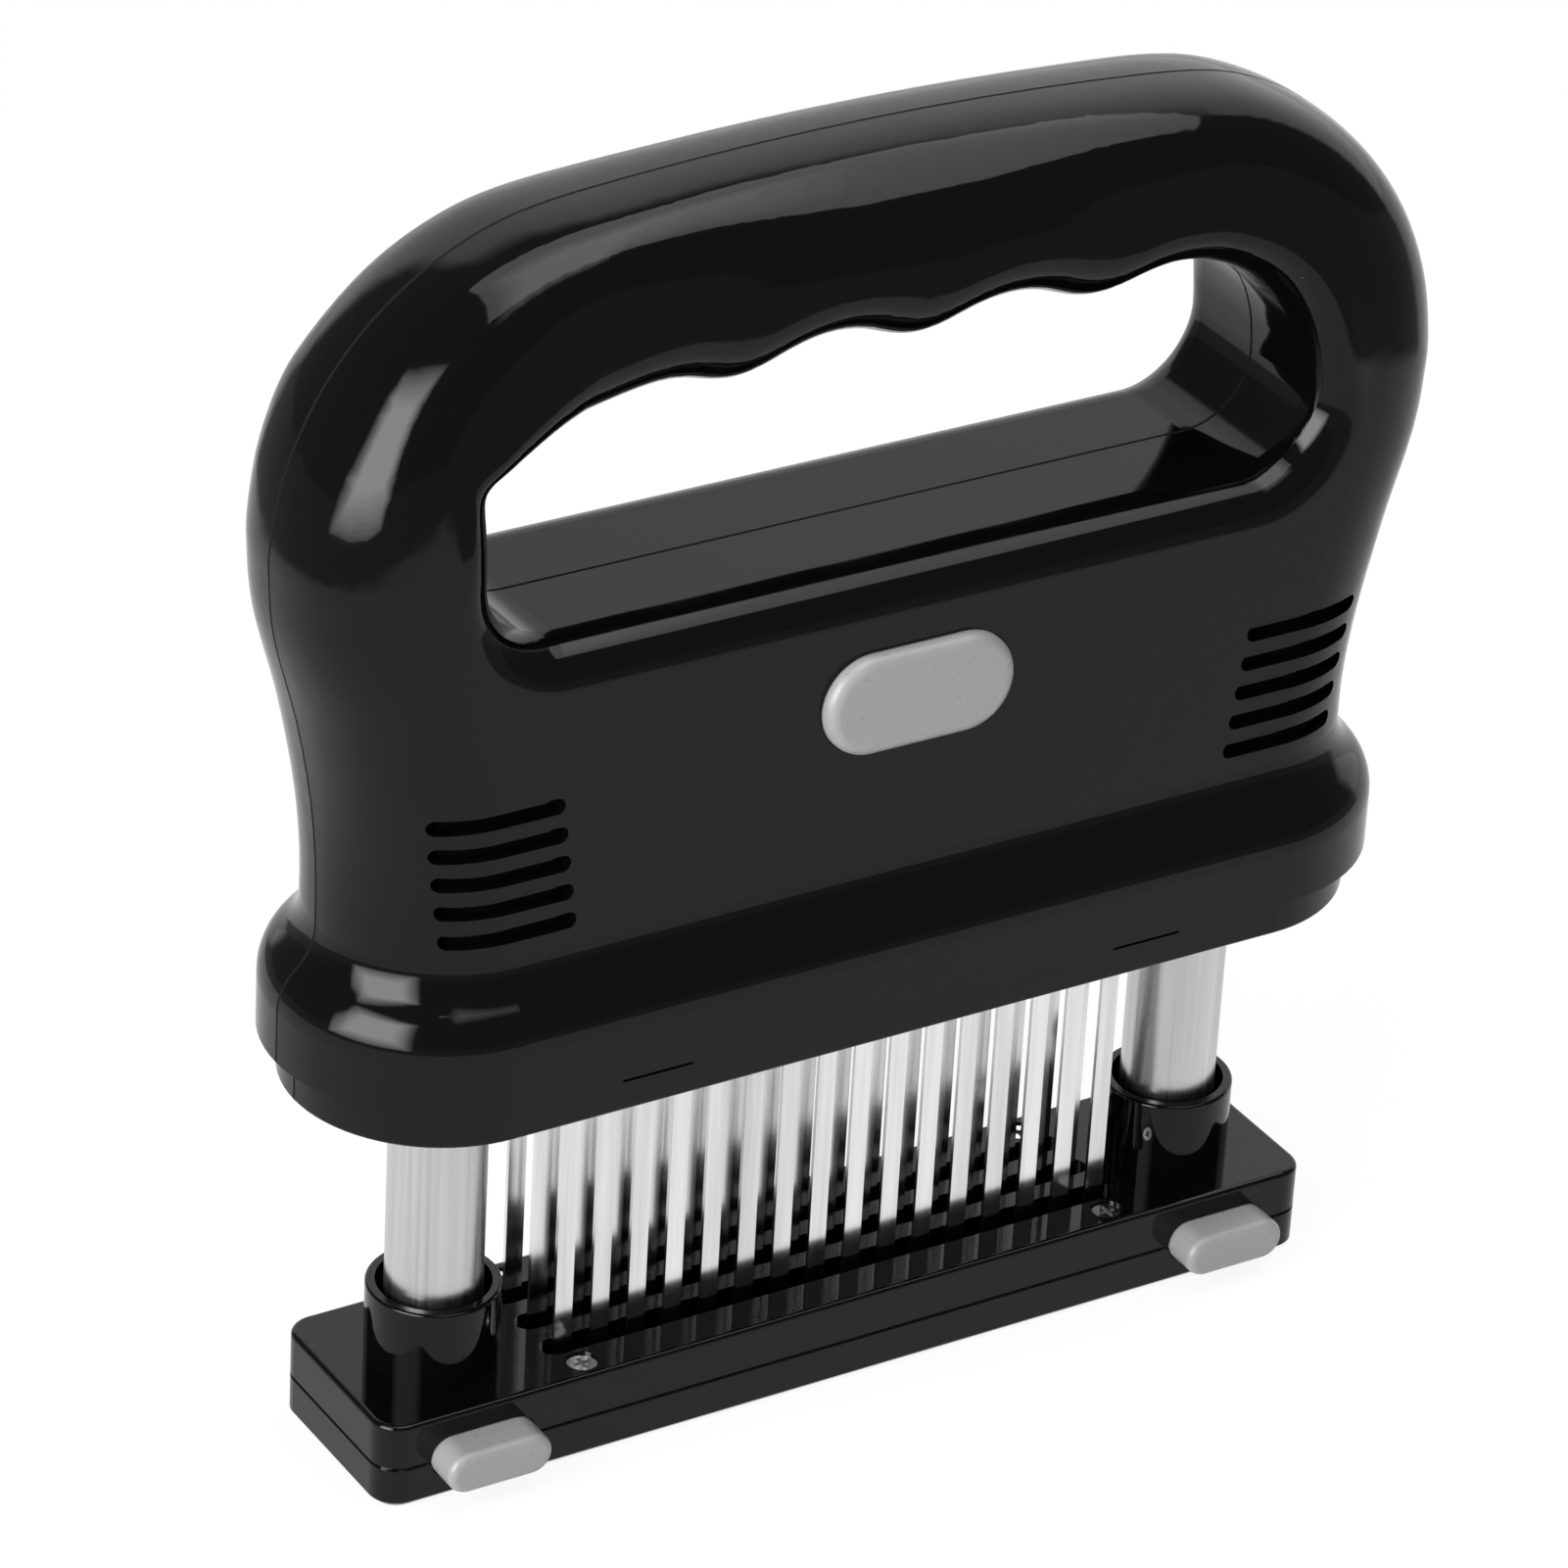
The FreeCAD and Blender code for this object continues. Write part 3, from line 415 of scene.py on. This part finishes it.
# %% Where the front leans, and by how much
# leans and tilts are in degrees; a lean grows along its rise and fades along its fall
front_lean = 24.0
front_rise = (15, 66)
front_fall = (80, 96)
middle_of_grip = (4 * MM, 44 * MM)
rim_lean = 17.0
rim_rise = (84, 96)
rim_fall = (104, 126)
# the whole lean fades out over these heights, where the bow meets the body
bow_ends = (bow_centre_z - 12 * MM, bow_centre_z + 4 * MM)

from_middle = ramp(rounder, math_node(rounder, "ABSOLUTE", spot["X"]), *middle_of_grip)
near_middle = math_node(rounder, "SUBTRACT", 1.0, from_middle)
on_front = math_node(rounder, "MULTIPLY", hump(rounder, tilt, front_rise, front_fall), near_middle)
on_rim = hump(rounder, tilt, rim_rise, rim_fall)
front_part = math_node(rounder, "MULTIPLY", on_front, front_lean)
lean = math_node(rounder, "MULTIPLY_ADD", on_rim, rim_lean, front_part)
in_front = math_node(rounder, "LESS_THAN", spot["Y"], 0.0)
on_bow = math_node(rounder, "MULTIPLY", in_front, ramp(rounder, spot["Z"], *bow_ends))
lean = math_node(rounder, "MULTIPLY", lean, on_bow)
new_tilt = math_node(rounder, "RADIANS", math_node(rounder, "SUBTRACT", tilt, lean))
print("leans by up to", front_lean, "degrees on the front and", rim_lean, "at the rim")

# %% The floor of the finger opening is shaded as if it dipped a little to the front
floor_dip = 0.11
nearly_level = (0.96, 0.995)

below_bow = math_node(rounder, "LESS_THAN", spot["Z"], bow_centre_z)
facing_up = ramp(rounder, parts_of(rounder, facing)["Z"], *nearly_level)
on_opening_floor = math_node(rounder, "MULTIPLY", below_bow, facing_up)
dip = add_node(rounder, "ShaderNodeCombineXYZ")
link(rounder, math_node(rounder, "MULTIPLY", on_opening_floor, -floor_dip), dip.inputs["Y"])
print("opening's floor dips by", round(math.degrees(math.atan(floor_dip)), 1), "degrees")

# %% The same normal at its new tilt
upward = vector_node(rounder, "SCALE", outward, scale=rising)
sideways = vector_node(rounder, "NORMALIZE", vector_node(rounder, "SUBTRACT", facing, upward))
level_part = vector_node(rounder, "SCALE", sideways, scale=math_node(rounder, "SINE", new_tilt))
steep_part = vector_node(rounder, "SCALE", outward, scale=math_node(rounder, "COSINE", new_tilt))
leaning = vector_node(rounder, "ADD", level_part, steep_part)
leaning = vector_node(rounder, "ADD", leaning, dip.outputs[0])
link(rounder, vector_node(rounder, "NORMALIZE", leaning), result["Normal"])
print("group", rounder.name, len(rounder.nodes), "nodes")

# %% [markdown]
# ## Moulded plastic
# The black parts are glossy moulded plastic. Their faces wave gently where the
# plastic shrank, a few specks of dust lie on them, and a fine furrow runs where
# the front and rear halves meet. The furrow could be cut into the shells, but
# it is under half a millimetre wide, so a dull line in the finish is enough.
# One group carries all of it, and a material that has no seam or dust leaves
# those inputs at nothing.

# %% The group and its sockets
moulded, given, result = new_group(
    "moulded_surface",
    (("Color", "colour", (0.01, 0.01, 0.01, 1)),
     ("Roughness", "number", 0.1),
     ("Wave Fineness", "number", 60.0),
     ("Wave Height", "number", 0.02),
     ("Shade Spread", "number", 0.3),
     ("Seam Width", "number", 0.0),
     ("Dust", "number", 0.0),
     ("Normal", "vector", None)),
    (("Color", "colour"), ("Roughness", "number"), ("Normal", "vector")))
place = add_node(moulded, "ShaderNodeTexCoord").outputs["Object"]
print("group", moulded.name, len(given) - 1, "inputs")

# %% Flow marks in the colour, a fine haze in the gloss
flow_detail = 3.0
noise_middle = 0.5
haze_fineness = 900.0
haze_detail = 2.0
haze_spread = 0.5

flow = noise(moulded, place, given["Wave Fineness"], flow_detail)
off_middle = math_node(moulded, "SUBTRACT", flow, noise_middle)
shade = math_node(moulded, "MULTIPLY_ADD", off_middle, given["Shade Spread"], 1.0)
haze = noise(moulded, place, haze_fineness, haze_detail)
haze_share = math_node(moulded, "MULTIPLY_ADD", haze, haze_spread, 1 - haze_spread * noise_middle)
haze_rough = math_node(moulded, "MULTIPLY", haze_share, given["Roughness"])
print("haze varies the roughness by a share of", haze_spread / 2, "either way")

# %% Specks of dust: the middles of a few cells of a fine cell pattern
dust_cells = 260.0
speck_radius = 0.035
dust_colour = (0.35, 0.35, 0.35, 1)

cells = add_node(moulded, "ShaderNodeTexVoronoi")
cells.inputs["Scale"].default_value = dust_cells
link(moulded, place, cells.inputs["Vector"])
speck = math_node(moulded, "LESS_THAN", cells.outputs["Distance"], speck_radius)
chance = add_node(moulded, "ShaderNodeSeparateColor")
link(moulded, cells.outputs["Color"], chance.inputs[0])
chosen = math_node(moulded, "LESS_THAN", chance.outputs["Red"], given["Dust"])
dust = math_node(moulded, "MULTIPLY", speck, chosen)
print("cells of the dust pattern:", round(1 / dust_cells / MM, 1), "mm")

# %% The parting seam, in the plane where the halves meet
from_middle = math_node(moulded, "ABSOLUTE", parts_of(moulded, place)["Y"])
furrow = math_node(moulded, "LESS_THAN", from_middle, given["Seam Width"])
dull = math_node(moulded, "MAXIMUM", furrow, dust)
print("seam lies at y = 0")

# %% What the group gives
wave_detail = 1.0

dusty = add_node(moulded, "ShaderNodeMix", data_type="RGBA")
dusty.inputs["B"].default_value = dust_colour
link(moulded, dust, dusty.inputs["Factor"])
link(moulded, tinted(moulded, given["Color"], shade), dusty.inputs["A"])
link(moulded, dusty.outputs["Result"], result["Color"])
link(moulded, math_node(moulded, "MAXIMUM", haze_rough, dull), result["Roughness"])
waves = noise(moulded, place, given["Wave Fineness"], wave_detail)
waved = bumped(moulded, waves, given["Wave Height"], given["Normal"])
link(moulded, waved, result["Normal"])
print("group", moulded.name, len(moulded.nodes), "nodes")

# %% [markdown]
# ## The plastics
# Five finishes come out of that group. The base is plain black gloss, the
# cassette has the seam too, and the handle has the seam and the rounder grip.
# Bushes, post feet and the blade carrier are a duller black, and the buttons a
# smooth mid grey. A coat layer could give the gloss, but the shader's own low
# roughness already mirrors the room as hard moulded plastic does.

# %% One material around one group
def surface(name, effect, values, metallic=0.0, specular=0.5):
    """A material whose colour, gloss and normal come from an effect group."""
    material = new_material(name)
    tree = material.node_tree
    group = add_node(tree, "ShaderNodeGroup", node_tree=effect)
    for title, value in values.items():
        group.inputs[title].default_value = value
    shader = add_node(tree, "ShaderNodeBsdfPrincipled")
    shader.inputs["Metallic"].default_value = metallic
    shader.inputs["Specular IOR Level"].default_value = specular
    for gives, takes in (("Color", "Base Color"), ("Roughness", "Roughness"), ("Normal", "Normal")):
        link(tree, group.outputs[gives], shader.inputs[takes])
    out = add_node(tree, "ShaderNodeOutputMaterial")
    link(tree, shader.outputs[0], out.inputs["Surface"])
    return tree, group


# %% Plastics
def plastic(name, colour, specular, values, rounded=False):
    tree, group = surface(name, moulded, {"Color": (*colour, 1), **values}, specular=specular)
    facing = add_node(tree, "ShaderNodeTexCoord").outputs["Normal"]
    if rounded:
        round_grip = add_node(tree, "ShaderNodeGroup", node_tree=rounder)
        link(tree, facing, round_grip.inputs["Normal"])
        facing = round_grip.outputs["Normal"]
    link(tree, facing, group.inputs["Normal"])


black = (0.0015, 0.0015, 0.0016)
soft_black = (0.004, 0.004, 0.004)
button_grey = (0.245, 0.245, 0.248)
black_shine = 0.27
satin_shine = 0.4
button_shine = 0.5
gloss = {"Roughness": 0.06, "Wave Fineness": 40.0, "Wave Height": 0.6, "Dust": 0.03}
seam = {"Seam Width": 0.2 * MM}
satin = {"Roughness": 0.25, "Wave Fineness": 40.0, "Wave Height": 0.2}
smooth = {"Roughness": 0.30, "Wave Fineness": 25.0, "Wave Height": 0.01, "Shade Spread": 0.05}

plastic("black_gloss", black, black_shine, gloss)
plastic("black_seamed", black, black_shine, {**gloss, **seam})
plastic("black_grip", black, black_shine, {**gloss, **seam}, rounded=True)
plastic("black_satin", soft_black, satin_shine, satin)
plastic("grey_satin", button_grey, button_shine, smooth)
print("plastics made")

# %% [markdown]
# ## Steel
# The posts are drawn steel tube with fine lines down their length, the blades
# are ground and polished, the springs are bare wire, and the screws are bright
# plated. Anisotropic shading could stretch the highlights, but it draws no
# lines up close. A noise that is fine across a post or blade and long along it
# draws the lines themselves, in colour, gloss and bump. On wire and plate it is
# equally fine all ways.

# %% Steel grain group
grain_fineness = 1.0
streak_fineness = 0.12
streak_detail = 1.0
grain_detail = 4.0
mark_range = (0.6, 1.4)
shade_range = (0.74, 1.14)
rough_spread = 0.2


def rescaled(tree, value, old, new):
    """The value moved from its old range to a new one."""
    scale = add_node(tree, "ShaderNodeMapRange")
    feed(tree, scale.inputs["Value"], value)
    for title, number in zip(("From Min", "From Max", "To Min", "To Max"), (*old, *new)):
        feed(tree, scale.inputs[title], number)
    return scale.outputs[0]


steel, given, result = new_group(
    "steel_grain",
    (("Color", "colour", (0.8, 0.8, 0.8, 1)),
     ("Roughness", "number", 0.2),
     ("Grain Stretch", "vector", None),
     ("Grain Height", "number", 0.05)),
    (("Color", "colour"), ("Roughness", "number"), ("Normal", "vector")))
stretch = add_node(steel, "ShaderNodeMapping")
link(steel, add_node(steel, "ShaderNodeTexCoord").outputs["Object"], stretch.inputs["Vector"])
link(steel, given["Grain Stretch"], stretch.inputs["Scale"])
grain = noise(steel, stretch.outputs[0], grain_fineness, grain_detail)
streaks = noise(steel, stretch.outputs[0], streak_fineness, streak_detail)
marks = math_node(steel, "ADD", streaks, grain)
link(steel, tinted(steel, given["Color"], rescaled(steel, marks, mark_range, shade_range)), result["Color"])
rough_share = rescaled(steel, grain, (0, 1), (1 - rough_spread, 1 + rough_spread))
link(steel, math_node(steel, "MULTIPLY", given["Roughness"], rough_share), result["Roughness"])
link(steel, bumped(steel, grain, given["Grain Height"]), result["Normal"])
print("group", steel.name, len(steel.nodes), "nodes")

# %% Metals
def metal(name, colour, roughness, grain_stretch, grain_height):
    surface(name, steel, {"Color": (*colour, 1), "Roughness": roughness,
                          "Grain Stretch": grain_stretch, "Grain Height": grain_height}, metallic=1.0)


metal("brushed_post", (0.70, 0.70, 0.71), roughness=0.28,
      grain_stretch=(1500, 1500, 25), grain_height=0.04)
metal("polished_blade", (0.94, 0.945, 0.95), roughness=0.14,
      grain_stretch=(900, 900, 40), grain_height=0.04)
metal("spring_wire", (0.6, 0.6, 0.6), roughness=0.25,
      grain_stretch=(800, 800, 800), grain_height=0.1)
metal("bright_plate", (0.85, 0.85, 0.86), roughness=0.08,
      grain_stretch=(500, 500, 500), grain_height=0.05)
print("metals made")

# %% [markdown]
# ## Finishes onto the frame's pieces
# Every solid of the frame keeps its mesh and gets one of the finishes. It could
# be done by hand in the materials tab. A table from finish to pieces shows at a
# glance what is made of what, and a slip in a name stops the script.

# %% Which piece has which finish
finish_of = {
    "black_gloss": ("base_top_plate", "base_bottom_plate"),
    "black_seamed": ("cassette_front", "cassette_rear"),
    "black_grip": ("handle_front_shell", "handle_rear_shell"),
    "black_satin": ("post_foot_left", "post_foot_right", "post_bush_left", "post_bush_right",
                    "blade_carrier"),
    "grey_satin": ("base_button_left", "base_button_right", "release_button"),
    "brushed_post": ("guide_post_left", "guide_post_right", "blade_clamp_plate"),
    "polished_blade": ("blade_row_front", "blade_row_middle", "blade_row_rear"),
    "spring_wire": ("return_spring_left", "return_spring_right", "base_button_spring_left",
                    "base_button_spring_right", "release_spring"),
    "bright_plate": ("base_screws", "clamp_screws", "handle_screws"),
}

for finish, names in finish_of.items():
    for name in names:
        slots = nodes[name].data.materials
        slots.clear()
        slots.append(bpy.data.materials[finish])
print("dressed", sum(len(names) for names in finish_of.values()), "of", len(nodes), "nodes")

# %% [markdown]
# ## The return springs
# Two return springs stand inside the posts and lift the head. As it comes down
# they shorten, which a stiff solid can't do: the frame's coils would reach up
# into the handle. New coils could be swept along a helix, but the frame's have
# the right wire and turns already. So each is copied, its loose triangles are
# merged, and the copy goes with the base in place of the frame's spring.

# %% Return springs
merge_distance = 0.001 * MM


def shortening_spring(node):
    mesh = nodes[node].data.copy()
    mesh.transform(nodes[node].matrix_world)
    shape = bmesh.new()
    shape.from_mesh(mesh)
    bmesh.ops.remove_doubles(shape, verts=shape.verts, dist=merge_distance)
    shape.to_mesh(mesh)
    shape.free()
    mesh.shade_smooth()
    spring = bpy.data.objects.new(node.replace("return_spring", "return_coil"), mesh)
    scene.collection.objects.link(spring)

    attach(spring, "base")
    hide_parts(node)
    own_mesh(spring)


for side in ("left", "right"):
    shortening_spring("return_spring_" + side)

# %% [markdown]
# ## The last settings
# The plain Standard view shows each colour about as it is written, where a
# filmic one would turn the white room grey.

# %% View
scene.view_settings.view_transform = "Standard"
